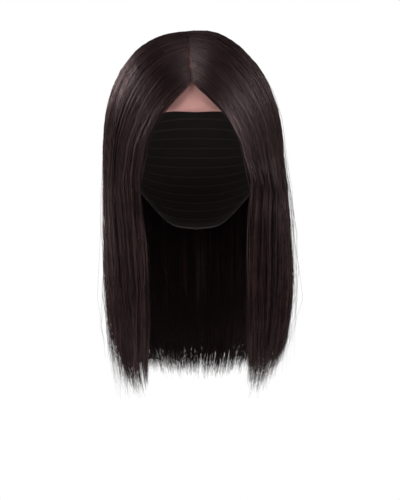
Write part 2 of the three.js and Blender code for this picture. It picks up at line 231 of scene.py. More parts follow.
class WigHair(bpy.types.PropertyGroup):
    """How fine the strands are, how they gather and stray, and their colours."""

    strand_width: length("Strand width", 0.4, "Width of a strand at its middle")
    root_share: number("Root width", 0.6, "Width at the root as a share of the strand width", "FACTOR")
    tip_share: number("Tip width", 0.35, "Width at the tip as a share of the strand width", "FACTOR")
    hem_scatter: number("Hem scatter", 0.07, "Share of its length by which a strand may be short", "FACTOR")
    tip_gather: number("Tip gather", 0.6, "How far fine hair gathers into wisps at the hem", "FACTOR")
    wander: length("Wander", 2.2, "How far a strand drifts from its way")
    stray_share: number("Stray share", 0.04, "Share of strands that stand off the others", "FACTOR")
    stray_reach: length("Stray reach", 6, "How far stray strands stand off")
    dark: tone("Dark hair", (0.0045, 0.002, 0.0024), "Colour of most strands")
    light: tone("Light hair", (0.062, 0.032, 0.031), "Colour of the lightest strands")
    shine: tone("Shine", (1.0, 0.69, 0.7), "Colour of the light that the hair throws back")


class WigCap(bpy.types.PropertyGroup):
    """The colours of the lace front and the stretch cap, and the pitch of their nets."""

    lace: tone("Lace", (0.41, 0.194, 0.172), "Colour of the lace threads")
    lace_gap: tone("Lace gaps", (0.51, 0.252, 0.226), "Colour seen between the lace threads")
    lace_pitch: length("Lace pitch", 0.9, "Distance between threads of the lace")
    net: tone("Net", (0.04, 0.031, 0.03), "Colour of the stretch cap")
    net_pitch: length("Net pitch", 1.6, "Distance between threads of the stretch cap")
    weft_pitch: length("Weft pitch", 11, "Distance between the rows of weft on the cap")


class WigStage(bpy.types.PropertyGroup):
    """The camera, the floor and the surround."""

    camera_distance: length("Camera distance", 2000, "From the camera to the head's middle")
    view_height: length("View height", 500, "Height of the frame at the head's middle")
    view_across: length("View across", 4, "Where the frame's middle is, to the right of the head's")
    view_level: length("View level", -210, "Level of the frame's middle below the crown")
    light_level: length("Light level", -150, "Level that the lights point at")
    floor_level: length("Floor level", -620, "Level of the floor below the crown")
    floor_spread: length("Floor spread", 1200, "From the middle of the floor to its edge")
    floor_tone: tone("Floor", (0.92, 0.92, 0.92), "Colour of the floor")
    surround: number("Surround light", 0.1, "How strongly the white surround lights the wig")


# Shape functions, which work on whole arrays at once


def blend(start, end, share):
    return start + (end - start) * share


def ease(value, low, high):
    """From 0 at low to 1 at high, level at both."""
    share = np.clip((value - low) / (high - low), 0.0, 1.0)
    return share * share * (3 - 2 * share)


def column(rows, name):
    """A table's column as a smooth curve over its first column, level where it starts."""
    places = np.array(next(iter(rows.values())), float)
    values = np.array(rows[name], float)
    quotients = np.diff(values) / np.diff(places)
    middles = (quotients[:-1] + quotients[1:]) / 2
    slopes = np.concatenate([[0.0], middles, quotients[-1:]])

    def at(place):
        place = np.clip(place, places[0], places[-1])
        i = np.clip(np.searchsorted(places, place, side="right") - 1, 0, len(places) - 2)
        step = places[i + 1] - places[i]
        t = (place - places[i]) / step
        fall = 1 + t * t * (2 * t - 3)
        return (
            values[i] * fall
            + values[i + 1] * (1 - fall)
            + slopes[i] * step * t * (1 - t) ** 2
            - slopes[i + 1] * step * t * t * (1 - t)
        )

    return at


def waves(value, rows):
    """Sine waves added up. Each row has a wave's height, its turns and where it starts."""
    return sum(height * np.sin(value * turns + start) for height, turns, start in rows)


def vectors(x, y, z):
    return np.stack(np.broadcast_arrays(x, y, z), axis=-1).astype(float)


def unit(vector):
    return vector / np.linalg.norm(vector, axis=-1, keepdims=True)


def along_great_circle(start, end, share):
    """The way from one direction to another over the head, as on a globe."""
    angle = np.arccos(np.clip(np.sum(start * end, axis=-1), -1, 1))[..., None]
    share = np.asarray(share)[..., None]
    return unit(start * np.sin((1 - share) * angle) + end * np.sin(share * angle))


def on_round(direction, side, front, back, height, crown, roundness):
    """Where a direction meets a rounded form of those half sizes about the head's middle."""
    power = np.asarray(roundness)[..., None]
    reach = np.sum(np.abs(direction) ** power, axis=-1) ** (-1 / np.asarray(roundness))
    scaled = direction * reach[..., None]
    depth = np.where(scaled[..., 1] < 0, front, back)
    return vectors(scaled[..., 0] * side, scaled[..., 1] * depth, scaled[..., 2] * height - crown)


def on_head(shape, direction, layer, drop=0.0):
    """The head with an even layer over it, sunk below the widest level by drop."""
    share = np.asarray(drop) / shape.nape_drop
    width = column(NECK_ROWS, "width")(share)
    back = column(NECK_ROWS, "back")(share)
    point = on_round(
        direction,
        shape.head_half_width * width + layer,
        shape.head_front * width + layer,
        shape.head_back * back + layer,
        shape.crown_height + layer,
        shape.crown_height,
        np.full(direction.shape[:-1], shape.head_roundness),
    )
    point[..., 2] -= drop
    return point


class Flow:
    """The way that one curtain's hair takes from its roots over the head and down to its cut ends.

    across runs from 0 to 1 over the curtain, down from 0 at the roots over 1 at the widest level to 2 at the
    cut ends, and depth from 0 on the inside to 1 on the outside.
    """

    # Spans down the hair over which one form passes into the next
    BOW_GROWS = (0.0, 0.12)
    BOW_FADES = (0.15, 0.7)
    EDGES_THIN = (0.4, 1.2)
    FURROWS_DEEPEN = (0.2, 1.5)
    ROOTS_FILL = (0.0, 0.4)
    ROOTS_RISE = (0.0, 0.25)
    SEAT_RISES = (0.0, 0.12)

    # Spans across the curtain, and for the side blend over the direction's x
    PARTING_CLOSES = (0.28, 0.45)
    BOW_ACROSS = (0.0, 0.25)
    EDGE_ACROSS = (0.0, 0.12)
    CROWN_ACROSS = (0.1, 0.65)
    SIDE_BLEND = (0.0, 0.5)

    # Shares of the thickness: furrows over the head and at the hem, and cover at the hairline and the crown
    FURROWS = (0.035, 0.16)
    ROOT_COVER = (0.2, 0.92)
    ROOT_RISE = (0.3, 0.9)

    # Waves that make the locks differ in width
    LOCK_WAVES = ((0.5, 17.0, 0.0), (0.3, 41.0, 1.0))

    def __init__(self, side, closing=0.2, narrowing=1.0):
        """closing is the share of the parting's width that is left at the crown, below 0 where hair crosses
        it. narrowing is how far the hair draws in towards the hem, as a share of the outline's own."""
        self.shape = bpy.context.scene.wig_shape
        self.side = side
        self.locks = self.shape.back_locks if side == BACK else self.shape.side_locks
        self.closing = closing
        self.narrowing = narrowing
        self.front = {name: column(FRONT_ROWS, name) for name in FRONT_ROWS}
        self.level = {name: column(LEVEL_ROWS, name) for name in LEVEL_ROWS}
        self.hem = column(HEM_ROWS[side], "length")

    def half(self, side):
        over = np.where(side < 0, self.shape.over_left, self.shape.over_right)
        return self.shape.head_half_width + over

    def side_at(self, across):
        if self.side == BACK:
            return np.where(across < 0.5, LEFT, RIGHT)
        return np.full(np.shape(across), self.side)

    def turn(self, across, drop):
        """The angle from the front at which a place across the curtain hangs, positive to the right."""
        if self.side == BACK:
            start = np.radians(self.level["back_start"](drop))
            return -blend(start, 2 * np.pi - start, across)
        name = "left" if self.side == LEFT else "right"
        roundness = self.shape.left_roundness if self.side == LEFT else self.shape.right_roundness
        share = self.front[name + "_face"](drop) / self.front[name + "_width"](drop)
        face_turn = np.arctan2(share, (1 - share ** roundness) ** (1 / roundness))
        return self.side * blend(face_turn, np.radians(self.level["side_end"](drop)), across)

    def roots(self, across):
        """The direction of the roots: along the parting, or round the whorl for the back curtain."""
        shape = self.shape
        if self.side == BACK:
            fan = unit(vectors(
                shape.parting_crown / shape.head_half_width,
                -math.sin(shape.crown_tilt), math.cos(shape.crown_tilt)))
            turn = self.turn(across, 0.0)
            ring = vectors(np.sin(turn), -np.cos(turn), 0)
            fan = np.broadcast_to(fan, ring.shape)
            angle = np.arccos(np.sum(fan * ring, axis=-1))
            return along_great_circle(fan, ring, shape.whorl_radius / shape.crown_height / angle)
        tilt = blend(shape.hairline_tilt, shape.crown_tilt, across)
        gap = shape.parting_gap * blend(1.0, self.closing, ease(across, *self.PARTING_CLOSES))
        offset = blend(shape.parting_front, shape.parting_crown, across) + self.side * gap / 2
        return unit(vectors(offset / shape.head_half_width, -np.sin(tilt), np.cos(tilt)))

    def bow(self, across, down):
        """How far hair at the face edge bows in over the lace on its way from the parting."""
        if self.side == BACK:
            return np.zeros(np.shape(down))
        over_lace = ease(down, *self.BOW_GROWS) * (1 - ease(down, *self.BOW_FADES))
        return self.side * self.shape.hairline_bow * over_lace * (1 - ease(across, *self.BOW_ACROSS))

    def keep(self, across, down):
        """The share of its thickness that the curtain keeps near its side edges."""
        nearest = np.minimum(across, 1 - across)
        edge = self.shape.edge_thickness / self.shape.hang_thickness
        return blend(blend(1.0, edge, ease(down, *self.EDGES_THIN)), 1.0, ease(nearest, *self.EDGE_ACROSS))

    def relief(self, across, down):
        """How far out the hair lies, lower in the furrows between its locks."""
        ridge = np.abs(np.sin(np.pi * (across * self.locks + waves(across, self.LOCK_WAVES))))
        return 1 - blend(*self.FURROWS, ease(down, *self.FURROWS_DEEPEN)) * (1 - ridge)

    def cover(self, across, down):
        """How full the hair is, as a share of its thickness, from its roots on."""
        crown = 1.0 if self.side == BACK else ease(across, *self.CROWN_ACROSS)
        rise = blend(blend(*self.ROOT_RISE, crown), 1.0, ease(down, *self.ROOTS_RISE))
        return blend(blend(*self.ROOT_COVER, crown), 1.0, ease(down, *self.ROOTS_FILL)) * rise

    def direction(self, across, on_dome, fall):
        """Where a place in the hair lies as seen from the head's middle."""
        turn = self.turn(across, fall)
        ring = vectors(np.sin(turn), -np.cos(turn), 0)
        way = along_great_circle(self.roots(across), ring, on_dome)
        bow = self.bow(across, on_dome) / self.half(self.side_at(across))
        return unit(way - vectors(bow, 0, 0))

    def walls(self, across, direction, fall):
        """The hair's outside and, where it hangs clear of the head, its inside, both before they hang."""
        shape = self.shape
        side = self.side_at(across)
        widths = np.where(side < 0, self.front["left_width"](fall), self.front["right_width"](fall))
        widths = np.where(widths < 1, blend(1.0, widths, self.narrowing), widths)
        sizes = [
            self.half(side) * widths,
            (shape.head_front + shape.over_forehead) * self.level["front"](fall),
            (shape.head_back + shape.over_occiput) * self.level["back"](fall),
        ]
        hung_sizes = [size - shape.hang_thickness for size in sizes]
        height = shape.crown_height + shape.over_crown
        own = np.where(side < 0, shape.left_roundness, shape.right_roundness)
        roundness = blend(shape.head_roundness, own, ease(np.abs(direction[..., 0]), *self.SIDE_BLEND))
        forms = (height, shape.crown_height, roundness)
        return [on_round(direction, *halves, *forms) for halves in (sizes, hung_sizes)]

    def point(self, across, down, depth):
        shape = self.shape
        across, down, depth = np.broadcast_arrays(
            np.asarray(across, float), np.asarray(down, float), np.asarray(depth, float))
        on_dome = np.clip(down, 0, 1)
        fall = np.clip(down - 1, 0, None) * self.hem(across)
        direction = self.direction(across, on_dome, fall)
        outer, hung = self.walls(across, direction, fall)
        seat = blend(shape.lace_wall, shape.hair_seat, ease(on_dome, *self.SEAT_RISES))
        inner = on_head(shape, direction, seat)
        inner = blend(inner, hung, ease(fall * shape.hang_length, 0, shape.nape_drop)[..., None])
        laid = blend(0.5, depth, self.keep(across, down))
        laid = laid * self.relief(across, down) * self.cover(across, on_dome)
        point = blend(inner, outer, laid[..., None])
        point[..., 2] -= fall * shape.hang_length
        return point


# Mesh and node helpers


def link(obj):
    bpy.context.scene.collection.objects.link(obj)
    return obj


def mesh_object(name, points, faces, uvs=None):
    """A mesh object with smooth faces and, if given, a UV for each point."""
    mesh = bpy.data.meshes.new(name)
    mesh.from_pydata([tuple(p) for p in points], [], [tuple(f) for f in faces])
    if uvs is not None:
        layer = mesh.uv_layers.new(name="UVMap")
        loops = np.zeros(len(mesh.loops), int)
        mesh.loops.foreach_get("vertex_index", loops)
        layer.data.foreach_set("uv", np.asarray(uvs)[loops].ravel())
    mesh.polygons.foreach_set("use_smooth", [True] * len(mesh.polygons))
    mesh.update()
    return link(bpy.data.objects.new(name, mesh))


def turn_outwards(mesh):
    shell = bmesh.new()
    shell.from_mesh(mesh)
    bmesh.ops.recalc_face_normals(shell, faces=shell.faces)
    shell.to_mesh(mesh)
    shell.free()


def grid_faces(rows, columns, start, turned=False):
    faces = []
    for r in range(rows - 1):
        for c in range(columns - 1):
            a = start + r * columns + c
            quad = (a, a + 1, a + columns + 1, a + columns)
            faces.append(quad[::-1] if turned else quad)
    return faces


def rim_faces(rows, columns, inner):
    """The quads that join an outer grid to an inner one round their four edges."""
    last = (rows - 1) * columns
    top = list(range(columns))
    bottom = [last + c for c in range(columns)]
    left = [r * columns for r in range(rows)]
    right = [r * columns + columns - 1 for r in range(rows)]
    faces = []
    for run in (top, bottom, left, right):
        for a, b in zip(run, run[1:]):
            faces.append((a, b, b + inner, a + inner))
    return faces


def finished(obj):
    """Makes what the modifiers give a plain mesh, and removes them."""
    graph = bpy.context.evaluated_depsgraph_get()
    mesh = bpy.data.meshes.new_from_object(
        obj.evaluated_get(graph), preserve_all_data_layers=True, depsgraph=graph)
    obj.modifiers.clear()
    obj.data = mesh
    mesh.name = obj.name
    return obj


def dress(obj, material, node=None):
    obj.data.materials.clear()
    obj.data.materials.append(material)
    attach(obj, "root")
    if node:
        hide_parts(node)


class Tree:
    """A node tree under construction, whose values are sockets or plain numbers."""

    def __init__(self, group):
        self.group = group

    def fill(self, node, sockets):
        """Links or sets a node's inputs."""
        for key, value in dict(sockets).items():
            if isinstance(value, bpy.types.NodeSocket):
                self.group.links.new(value, node.inputs[key])
            else:
                node.inputs[key].default_value = value
        return node

    def node(self, kind, sockets=(), **settings):
        node = self.group.nodes.new(kind)
        for name, value in settings.items():
            setattr(node, name, value)
        return self.fill(node, sockets)

    def math(self, operation, *values):
        return self.node("ShaderNodeMath", enumerate(values), operation=operation).outputs[0]

    def product(self, first, *others):
        for other in others:
            first = self.math("MULTIPLY", first, other)
        return first

    def less(self, value):
        """What is left of 1."""
        return self.math("SUBTRACT", 1.0, value)

    def vector(self, operation, *values):
        return self.node("ShaderNodeVectorMath", enumerate(values), operation=operation).outputs[0]

    def scaled(self, vector, factor):
        return self.node("ShaderNodeVectorMath", {0: vector, "Scale": factor}, operation="SCALE").outputs[0]

    def ease(self, value, low, high, start=0.0, end=1.0):
        sockets = {"Value": value, "From Min": low, "From Max": high, "To Min": start, "To Max": end}
        return self.node("ShaderNodeMapRange", sockets, interpolation_type="SMOOTHSTEP").outputs[0]

    def noise(self, place, scale, detail):
        sockets = {"Vector": place, "Scale": scale, "Detail": detail}
        return self.node("ShaderNodeTexNoise", sockets).outputs["Fac"]

    def mix(self, factor, *colours):
        """A colour between two, each a socket or three numbers."""
        first, second = (c if isinstance(c, bpy.types.NodeSocket) else (*c, 1.0) for c in colours)
        sockets = {"Factor": factor, 6: first, 7: second}
        return self.node("ShaderNodeMix", sockets, data_type="RGBA").outputs[2]


class GeometryTree(Tree):
    """A geometry node tree with named inputs."""

    def __init__(self, name):
        super().__init__(bpy.data.node_groups.new(name, "GeometryNodeTree"))
        for direction in ("INPUT", "OUTPUT"):
            self.group.interface.new_socket("Geometry", in_out=direction, socket_type="NodeSocketGeometry")
        self.start = self.group.nodes.new("NodeGroupInput")
        self.end = self.group.nodes.new("NodeGroupOutput")

    def input(self, name, kind="NodeSocketFloat"):
        """The value of a named input, which is made when it is first asked for."""
        if name not in self.start.outputs:
            self.group.interface.new_socket(name, in_out="INPUT", socket_type=kind)
        return self.start.outputs[name]

    def attribute(self, name, kind="FLOAT"):
        return self.node("GeometryNodeInputNamedAttribute", {"Name": name}, data_type=kind).outputs[0]

    def store(self, geometry, name, value, domain):
        sockets = {"Geometry": geometry, "Name": name, "Value": value}
        return self.node(
            "GeometryNodeStoreNamedAttribute", sockets, data_type="FLOAT", domain=domain).outputs[0]

    def random(self, seed, offset):
        """A number from 0 to 1 for each strand, from the tree's seed and an offset of its own."""
        index = self.node("GeometryNodeInputIndex").outputs[0]
        sockets = {"ID": index, "Seed": self.math("ADD", seed, offset), 2: 0.0, 3: 1.0}
        return self.node("FunctionNodeRandomValue", sockets, data_type="FLOAT").outputs[1]

    def finish(self, geometry, material):
        """Ends the tree with real geometry in one material."""
        whole = self.node("GeometryNodeRealizeInstances", {"Geometry": geometry}).outputs[0]
        painted = self.node("GeometryNodeSetMaterial", {"Geometry": whole, "Material": material}).outputs[0]
        self.group.links.new(painted, self.end.inputs[0])


class StrandTree(GeometryTree):
    """Grows strands round guides: each guide is copied, and every copy is moved sideways along the guide's
    step and outwards along its thickness, cut to its own length, bent a little and given a fine tube."""

    NAME = "Strands of Hair"
    DRAWS = ("place", "layer", "tint", "cut", "root_cut", "stray")

    # Strands gather in clumps: how often over a guide, how far guides differ, and how sharply
    CLUMP_RATE = 6.0
    CLUMP_SHIFT = 60.0
    CLUMP_EDGE = (0.38, 0.62)
    CLUMP_SHARE = 0.5
    # How far the clump value paints the strands' tint: lighter on the raised clumps and darker in the furrows
    # between them, as painted shade
    CLUMP_PAINTED_SHADE = 0.65

    # Spans from 0 at the root to 1 at the tip, and the bends and strays
    GATHERS = (0.35, 1.0)
    BENDS = (0.1, 1.0)
    STANDS_OFF = (0.1, 0.7)
    SWELLS = (0.0, 0.15)
    TAPERS = (0.9, 1.0)
    HEM_POWER = 0.7
    REACH_POWER = 2.0
    BEND_NOISE = {"Scale": 16.0, "Detail": 0.8}
    BEND_FACTOR = 4.0
    PHASE_SPREAD = 700.0
    STRAY_BEND = 2.2
    STRAY_THIN = 0.5
    WIDTHS = (0.7, 1.2)
    TUBE_SIDES = 3

    def __init__(self):
        super().__init__(self.NAME)
        strands = self.trimmed(self.copies())
        self.along = self.node("GeometryNodeSplineParameter").outputs["Factor"]
        self.is_stray = self.math("LESS_THAN", self.attribute("stray"), self.input("Stray Share"))
        strands = self.store(strands, "along", self.along, "POINT")
        offset = self.vector("ADD", self.spread(), self.scaled(self.swing(), self.bend()))
        offset = self.vector("ADD", offset, self.standing())
        strands = self.node("GeometryNodeSetPosition", {"Geometry": strands, "Offset": offset}).outputs[0]
        strands = self.store(strands, "tint", self.tint(), "CURVE")
        self.finish(self.tubes(strands), self.input("Material", "NodeSocketMaterial"))

    def copies(self):
        """The guides' copies, with their own random values and the clump that each belongs to."""
        guides = self.node("GeometryNodeMeshToCurve", {0: self.start.outputs[0]}).outputs[0]
        sockets = {"Geometry": guides, "Amount": self.input("Strands per Guide", "NodeSocketInt")}
        strands = self.node("GeometryNodeDuplicateElements", sockets, domain="SPLINE").outputs[0]
        for offset, name in enumerate(self.DRAWS, start=1):
            draw = self.random(self.input("Seed", "NodeSocketInt"), offset)
            strands = self.store(strands, name, draw, "CURVE")
        spot = self.product(self.attribute("place"), self.CLUMP_RATE)
        spot = self.math("ADD", spot, self.product(self.attribute("gather"), self.CLUMP_SHIFT))
        sockets = {"W": spot, "Scale": 1.0, "Detail": 0.0}
        noise = self.node("ShaderNodeTexNoise", sockets, noise_dimensions="1D").outputs["Fac"]
        return self.store(strands, "clump", self.ease(noise, *self.CLUMP_EDGE), "CURVE")

    def trimmed(self, strands):
        """The strands, begun late at the roots and cut short at the hem."""
        cut = self.math("POWER", self.attribute("cut"), self.HEM_POWER)
        short = self.product(cut, self.attribute("hem_scatter"))
        late = self.product(self.attribute("root_cut"), self.attribute("root_scatter"))
        sockets = {0: strands, 2: late, 3: self.less(short)}
        return self.node("GeometryNodeTrimCurve", sockets, mode="FACTOR").outputs[0]

    def spread(self):
        """Sideways over the guide's step, closer towards the hem, and outwards by layer and clump."""
        own_gather = self.product(self.input("Tip Gather"), self.attribute("gather"))
        gathered = self.less(self.product(own_gather, self.ease(self.along, *self.GATHERS)))
        sideways = self.product(self.math("SUBTRACT", self.attribute("place"), 0.5), gathered)
        height = self.product(self.attribute("layer"), 1 - self.CLUMP_SHARE)
        height = self.math("ADD", height, self.product(self.attribute("clump"), self.CLUMP_SHARE))
        step = self.scaled(self.attribute("step", "FLOAT_VECTOR"), sideways)
        return self.vector("ADD", step, self.scaled(self.attribute("outward", "FLOAT_VECTOR"), height))

    def swing(self):
        """Which way a strand bends, different for each."""
        position = self.node("GeometryNodeInputPosition").outputs[0]
        phase = self.product(self.attribute("tint"), self.PHASE_SPREAD)
        sockets = self.BEND_NOISE | {"Vector": position, "W": phase}
        noise = self.node("ShaderNodeTexNoise", sockets, noise_dimensions="4D").outputs["Color"]
        return self.vector("SUBTRACT", noise, (0.5, 0.5, 0.5))

    def bend(self):
        """How far a strand bends, and strays more than the rest."""
        loose = self.math("ADD", 1.0, self.product(self.is_stray, self.STRAY_BEND))
        return self.product(self.input("Wander"), self.BEND_FACTOR, self.ease(self.along, *self.BENDS), loose)

    def standing(self):
        """How strays stand off the others."""
        reach = self.product(
            self.input("Stray Reach"), self.math("POWER", self.attribute("tint"), self.REACH_POWER))
        off = self.product(self.is_stray, reach, self.ease(self.along, *self.STANDS_OFF))
        return self.scaled(self.vector("NORMALIZE", self.attribute("outward", "FLOAT_VECTOR")), off)

    def tint(self):
        """From dark to light at random, and painted lighter on the raised clumps and darker in the furrows
        between them, as painted shade.
        """
        share = self.math(
            "ADD", 1 - self.CLUMP_PAINTED_SHADE, self.product(self.attribute("clump"), self.CLUMP_PAINTED_SHADE))
        return self.math("ADD", self.product(self.attribute("tint"), share), self.input("Paleness"))

    def tubes(self, strands):
        """Fine tubes round the strands, thin at the root and the tip."""
        swell = self.ease(self.along, *self.SWELLS, self.input("Root Share"), 1.0)
        taper = self.ease(self.along, *self.TAPERS, 1.0, self.input("Tip Share"))
        own = self.ease(self.attribute("cut"), 0.0, 1.0, *self.WIDTHS)
        own = self.product(own, self.less(self.product(self.is_stray, self.STRAY_THIN)))
        half = self.product(self.input("Strand Width"), 0.5)
        radius = self.product(self.product(swell, taper), half, own)
        strands = self.node("GeometryNodeSetCurveRadius", {"Curve": strands, "Radius": radius}).outputs[0]
        sockets = {"Resolution": self.TUBE_SIDES, "Radius": 1.0}
        ring = self.node("GeometryNodeCurvePrimitiveCircle", sockets).outputs[0]
        sockets = {"Curve": strands, "Profile Curve": ring, "Scale": radius, "Fill Caps": True}
        tube = self.node("GeometryNodeCurveToMesh", sockets).outputs[0]
        return self.node("GeometryNodeSetShadeSmooth", {"Geometry": tube}).outputs[0]


# Guides and strands

# How far a guide's points, length and depth differ from the even ones, and the spans down the hair over
# which its depth differs more and its inset grows
GUIDE_JITTER = 0.4
GUIDE_LENGTHS = (0.94, 1.015)
DEPTH_JITTER = 0.12
DEPTH_SPAN = (-0.6, 1.4)
INSET_SPAN = (0.15, 0.9)

# The sway of a guide, as heights and turns of waves and the range of their starts, and how late strands
# start along the front of the parting, with the span across over which that fades
SWAYS = ((1.0, 2.3), (0.6, 5.1))
SWAY_START = 6.3
BARE_ROOTS = 0.006
BARE_SPAN = (0.3, 0.55)

# The step in depth over which the way outwards is measured
SMALL_DEPTH = 0.01


def guides_of(flow, layer, rng):
    """Each guide of a layer: its points, the vectors that spread its strands and the values they share."""
    places = np.array(GUIDE_PLACES)
    steps_down = np.minimum(np.diff(places, prepend=0), np.diff(places, append=2))
    edges = np.linspace(layer["start"], layer["end"], layer["guides"] + 1)
    hem_scatter = bpy.context.scene.wig_hair.hem_scatter * layer["hem"]
    for low, high in zip(edges, edges[1:]):
        middle = (low + high) / 2
        downs = places + rng.uniform(-GUIDE_JITTER, GUIDE_JITTER, len(places)) * steps_down
        long = np.clip(rng.normal(1.0, layer["uneven"]), *GUIDE_LENGTHS)
        down = np.where(downs > 1, 1 + (downs - 1) * long, downs)
        inset = layer["inset"] * ease(down, *INSET_SPAN)
        uneven = rng.uniform(-DEPTH_JITTER, DEPTH_JITTER) * ease(down, *DEPTH_SPAN)
        depth = np.clip(layer["low"] + uneven, 0, 1)
        base = flow.point(middle + inset, down, depth)
        step = flow.point(high + inset, down, depth) - flow.point(low + inset, down, depth)
        swing = sum(height * np.sin(turns * downs + rng.uniform(0, SWAY_START)) for height, turns in SWAYS)
        drift = layer["drift"] * MM * ease(downs, 0.0, 2.0) * swing
        out = flow.point(middle + inset, down, depth + SMALL_DEPTH) - base
        bare = 0.0 if flow.side == BACK else BARE_ROOTS * (1 - ease(middle, *BARE_SPAN))
        yield {
            "points": base + unit(step) * drift[:, None],
            "step": step * layer["spread"],
            "outward": out / SMALL_DEPTH * (layer["high"] - layer["low"]),
            "gather": np.full(len(down), rng.uniform(0.0, 1.0)),
            "hem_scatter": np.full(len(down), hem_scatter),
            "root_scatter": np.full(len(down), layer["roots"] + bare),
        }


def guide_object(name, flow, layers, rng):
    """Guides for strands, as chains of edges that carry their values."""
    chosen = [row for layer in layers for row in table_rows(LAYERS) if row["name"] == layer]
    guides = [guide for row in chosen for guide in guides_of(flow, row, rng)]
    columns = {key: np.concatenate([guide[key] for guide in guides]) for key in guides[0]}
    count = len(GUIDE_PLACES)
    chains = [(g * count + i, g * count + i + 1) for g in range(len(guides)) for i in range(count - 1)]
    mesh = bpy.data.meshes.new(name)
    mesh.from_pydata([tuple(p) for p in columns.pop("points")], chains, [])
    for label, values in columns.items():
        kind, field = ("FLOAT_VECTOR", "vector") if values.ndim == 2 else ("FLOAT", "value")
        attribute = mesh.attributes.new(label, kind, "POINT")
        attribute.data.foreach_set(field, values.astype(np.float32).ravel())
    return link(bpy.data.objects.new(name, mesh))


def grow(name, flow, layers, per_guide, seed, **changes):
    """Grows strands over a curtain and dresses them as one plain mesh."""
    hair = bpy.context.scene.wig_hair
    material = painted("Dark Hair Strands", paint_strands)
    obj = guide_object(name, flow, layers, np.random.default_rng(seed))
    modifier = obj.modifiers.new("Strands", "NODES")
    modifier.node_group = bpy.data.node_groups.get(StrandTree.NAME) or StrandTree().group
    values = {
        "Strands per Guide": per_guide,
        "Strand Width": hair.strand_width,
        "Root Share": hair.root_share,
        "Tip Share": hair.tip_share,
        "Tip Gather": hair.tip_gather,
        "Wander": hair.wander,
        "Stray Share": hair.stray_share,
        "Stray Reach": hair.stray_reach,
        "Paleness": 0.0,
        "Seed": seed,
        "Material": material,
    }
    for item in modifier.node_group.interface.items_tree:
        if item.in_out == "INPUT" and item.name in values:
            modifier[item.identifier] = (values | changes)[item.name]
    dress(finished(obj), material)


def grow_fine(side, row):
    """Grows a row of the finer hair on one side."""
    hair = bpy.context.scene.wig_hair
    name, place = ("left", 0) if side == LEFT else ("right", 1)
    changes = {
        "Strand Width": hair.strand_width * row["width"],
        "Stray Share": hair.stray_share * row["strays"],
        "Paleness": row["paleness"][place],
        "Wander": hair.wander * row["wander"],
    }
    flow = Flow(side, row["closing"], row["narrowing"])
    grow(f"{name}_{row['name']}", flow, row["layers"], row["per_guide"], row["seeds"][place], **changes)


# Materials


class Paint(Tree):
    """A material's node tree, which ends in its main shader."""

    def __init__(self, name):
        self.material = bpy.data.materials.new(name)
        self.material.use_nodes = True
        super().__init__(self.material.node_tree)

    def coordinates(self, kind):
        return self.node("ShaderNodeTexCoord").outputs[kind]

    def attribute(self, name):
        return self.node("ShaderNodeAttribute", attribute_name=name).outputs["Fac"]

    def bump(self, height, strength, distance):
        sockets = {"Strength": strength, "Distance": distance, "Height": height}
        return self.node("ShaderNodeBump", sockets).outputs[0]

    def streaks(self, place, across, along, detail):
        """Noise drawn out along the hair, as fine as across and as long as along."""
        stretch = self.node("ShaderNodeMapping", {"Vector": place, "Scale": (across, along, 1.0)}).outputs[0]
        return self.noise(stretch, 1.0, detail)

    def net(self, place, pitch, thread, softness=0.2):
        """1 on the threads of a net of diamonds and 0 in its gaps."""
        parts = self.node("ShaderNodeSeparateXYZ", {0: place}).outputs
        threads = []
        for operation in ("ADD", "SUBTRACT"):
            diagonal = self.math(operation, parts[0], parts[1])
            wave = self.math("ABSOLUTE", self.math("SINE", self.product(diagonal, math.pi / pitch)))
            threads.append(self.ease(wave, thread, thread + softness, 1.0, 0.0))
        return self.math("MAXIMUM", *threads)

    def finish(self, sockets):
        self.fill(self.group.nodes["Principled BSDF"], sockets)


def painted(name, recipe):
    """The named material, which its recipe paints when it is first asked for."""
    material = bpy.data.materials.get(name)
    if material is None:
        paint = Paint(name)
        recipe(paint)
        material = paint.material
    return material


def darker(colour, share):
    return tuple(part * share for part in colour)


def paint_strands(paint):
    """Straight dark hair: mostly near black, with some browner strands and painted shade in the furrows
    between clumps, and duller at the roots.
    """
    hair = bpy.context.scene.wig_hair
    tint = paint.attribute("tint")
    patches = paint.noise(paint.coordinates("Object"), scale=45.0, detail=2.0)
    lightness = paint.product(paint.math("POWER", tint, 3.0), paint.ease(patches, 0.3, 0.7, 0.3, 1.0))
    dullness = paint.ease(paint.attribute("along"), 0.0, 0.14, 1.6, 1.0)
    paint.finish({
        "Base Color": paint.mix(lightness, hair.dark, hair.light),
        "Roughness": paint.product(paint.ease(tint, 0.0, 1.0, 0.44, 0.3), dullness),
        "Specular IOR Level": 0.35,
        "Specular Tint": (*hair.shine, 1.0),
    })


def paint_mass(paint):
    """The hair under the loose strands: the same colours in fine streaks along its flow."""
    hair = bpy.context.scene.wig_hair
    place = paint.coordinates("UV")
    streaks = paint.streaks(place, across=2600.0, along=14.0, detail=3.0)
    locks = paint.streaks(place, across=320.0, along=6.0, detail=2.0)
    lightness = paint.product(paint.ease(streaks, 0.45, 0.75), paint.ease(locks, 0.35, 0.75, 0.1, 0.7))
    height = paint.math("ADD", streaks, paint.product(locks, 0.8))
    paint.finish({
        "Base Color": paint.mix(lightness, darker(hair.dark, 0.8), hair.light),
        "Normal": paint.bump(height, strength=0.7, distance=0.5 * MM),
        "Roughness": 0.48,
        "Specular IOR Level": 0.3,
        "Specular Tint": (*hair.shine, 1.0),
    })


def paint_lace(paint):
    """Sheer skin-tone lace: a fine net of diamonds, a little uneven in colour."""
    cap = bpy.context.scene.wig_cap
    net = paint.net(paint.coordinates("UV"), cap.lace_pitch, thread=0.3)
    patches = paint.noise(paint.coordinates("Object"), scale=60.0, detail=3.0)
    threads = paint.mix(net, cap.lace_gap, cap.lace)
    paint.finish({
        "Base Color": paint.mix(paint.ease(patches, 0.3, 0.7, 0.0, 0.25), threads, cap.lace),
        "Normal": paint.bump(net, strength=0.4, distance=0.2 * MM),
        "Roughness": 0.75,
        "Sheen Weight": 0.15,
    })


